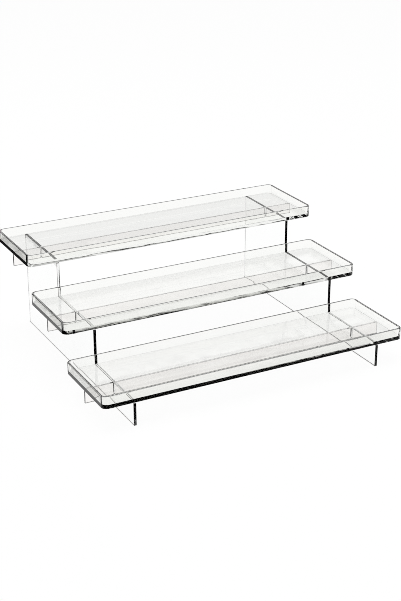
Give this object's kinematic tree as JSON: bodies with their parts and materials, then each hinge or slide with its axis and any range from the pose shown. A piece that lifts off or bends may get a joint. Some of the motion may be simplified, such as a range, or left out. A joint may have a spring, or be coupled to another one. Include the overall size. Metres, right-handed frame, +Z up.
{
  "type": "display riser",
  "caption": "Stepped clear acrylic display stand: shallow open trays rest on stair-cut side panels that slotted crossbars lock together, and every piece lifts apart.",
  "frame": {"origin": "on the table, under the middle of the whole stand's box", "axes": "+X along the trays to the viewer's right, +Y from the lowest step at the front to the highest at the back, +Z up"},
  "size_m": [0.4, 0.3224, 0.1351],
  "materials": {
    "panel_acrylic": "clear cast acrylic sheet, polished faces and cut edges",
    "crossbar_acrylic": "clear acrylic sheet, polished faces and cut edges",
    "tray_acrylic": "clear moulded acrylic, high gloss"
  },
  "bodies": {
    "side_panels": {"left_side_panel": "panel_acrylic", "right_side_panel": "panel_acrylic"},
    "bottom_crossbar": {"bottom_crossbar": "crossbar_acrylic"},
    "middle_crossbar": {"middle_crossbar": "crossbar_acrylic"},
    "top_crossbar": {"top_crossbar": "crossbar_acrylic"},
    "bottom_tray": {"bottom_tray": "tray_acrylic"},
    "middle_tray": {"middle_tray": "tray_acrylic"},
    "top_tray": {"top_tray": "tray_acrylic"}
  },
  "joints": [
    {"name": "bottom_crossbar_lift", "type": "slide", "parent": "side_panels", "child": "bottom_crossbar", "axis": [0, 0, 1], "range_m": [0, 0.05]},
    {"name": "middle_crossbar_lift", "type": "slide", "parent": "side_panels", "child": "middle_crossbar", "axis": [0, 0, 1], "range_m": [0, 0.05]},
    {"name": "top_crossbar_lift", "type": "slide", "parent": "side_panels", "child": "top_crossbar", "axis": [0, 0, 1], "range_m": [0, 0.05]},
    {"name": "bottom_tray_lift", "type": "slide", "parent": "bottom_crossbar", "child": "bottom_tray", "axis": [0, 0, 1], "range_m": [0, 0.12]},
    {"name": "middle_tray_lift", "type": "slide", "parent": "middle_crossbar", "child": "middle_tray", "axis": [0, 0, 1], "range_m": [0, 0.12]},
    {"name": "top_tray_lift", "type": "slide", "parent": "top_crossbar", "child": "top_tray", "axis": [0, 0, 1], "range_m": [0, 0.12]}
  ]
}
